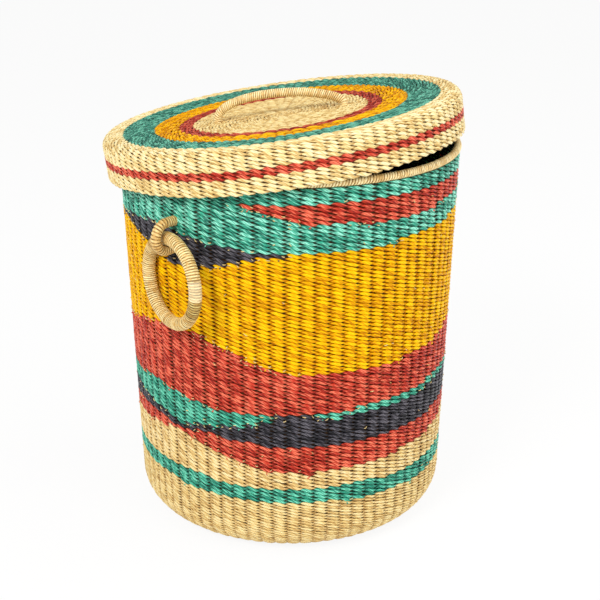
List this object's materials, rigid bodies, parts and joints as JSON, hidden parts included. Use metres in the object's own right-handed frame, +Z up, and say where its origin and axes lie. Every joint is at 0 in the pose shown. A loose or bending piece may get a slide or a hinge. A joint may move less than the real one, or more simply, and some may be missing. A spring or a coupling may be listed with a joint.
{
  "type": "lidded woven hamper basket",
  "caption": "Round twined grass hamper with coloured bands, two hanging ring handles in threaded loops and an askew lift-off lid with an arched handle.",
  "frame": {"origin": "on the surface that the basket stands on, below the middle of its outer box", "axes": "+Z up, X through the two ring handles, -X at the ring handle that the picture shows"},
  "size_m": [0.5136, 0.4672, 0.5681],
  "materials": {
    "natural_grass": "undyed dried grass straw, twined, satin",
    "green_grass": "green dyed grass straw, twined, satin",
    "yellow_grass": "golden yellow dyed grass straw, twined, satin",
    "red_grass": "red dyed grass straw, twined, satin",
    "crimson_grass": "dark red dyed grass straw, twined, satin",
    "black_grass": "black dyed grass straw, twined, satin",
    "wrapped_grass": "undyed grass straw wrapped tightly round a core, satin",
    "warp_grass": "undyed grass stakes, matt"
  },
  "bodies": {
    "basket": {"warp_shell": "warp_grass", "base_panel": "natural_grass", "base_corner_course": "natural_grass", "foot_natural_course": "natural_grass", "green_stripe": "green_grass", "natural_course": "natural_grass", "lower_red_course": "red_grass", "black_course": "black_grass", "green_wedge_front": "green_grass", "green_wedge_back": "green_grass", "red_course": "red_grass", "yellow_course": "yellow_grass", "black_wedge_front": "black_grass", "black_wedge_back": "black_grass", "green_course": "green_grass", "red_wedge": "red_grass", "top_green_course": "green_grass", "rim_border": "natural_grass", "ring_loop_left": "wrapped_grass", "ring_loop_right": "wrapped_grass"},
    "lid": {"lid_warp": "warp_grass", "lid_centre": "natural_grass", "lid_red_ring": "crimson_grass", "lid_yellow_ring": "yellow_grass", "lid_green_ring": "green_grass", "lid_edge_course": "natural_grass", "lid_skirt_stripe": "red_grass", "lid_skirt_course": "natural_grass", "lid_hem_border": "natural_grass", "lid_handle": "wrapped_grass", "lid_handle_binding_1": "wrapped_grass", "lid_handle_binding_2": "wrapped_grass"},
    "ring_left": {"ring_handle_left": "wrapped_grass"},
    "ring_right": {"ring_handle_right": "wrapped_grass"}
  },
  "joints": [
    {"name": "lid_lift", "type": "slide", "parent": "basket", "child": "lid", "axis": [0, 0, 1], "range_m": [0, 0.15]},
    {"name": "ring_left_swing", "type": "hinge", "parent": "basket", "child": "ring_left", "pos_m": [-0.23326, -0.00686, 0.4201], "axis": [0.2449, 0.9539, -0.1736], "range_deg": [0, 100]},
    {"name": "ring_right_swing", "type": "hinge", "parent": "basket", "child": "ring_right", "pos_m": [0.23326, -0.00686, 0.4201], "axis": [-0.2449, -0.9539, -0.1736], "range_deg": [0, 100]}
  ]
}
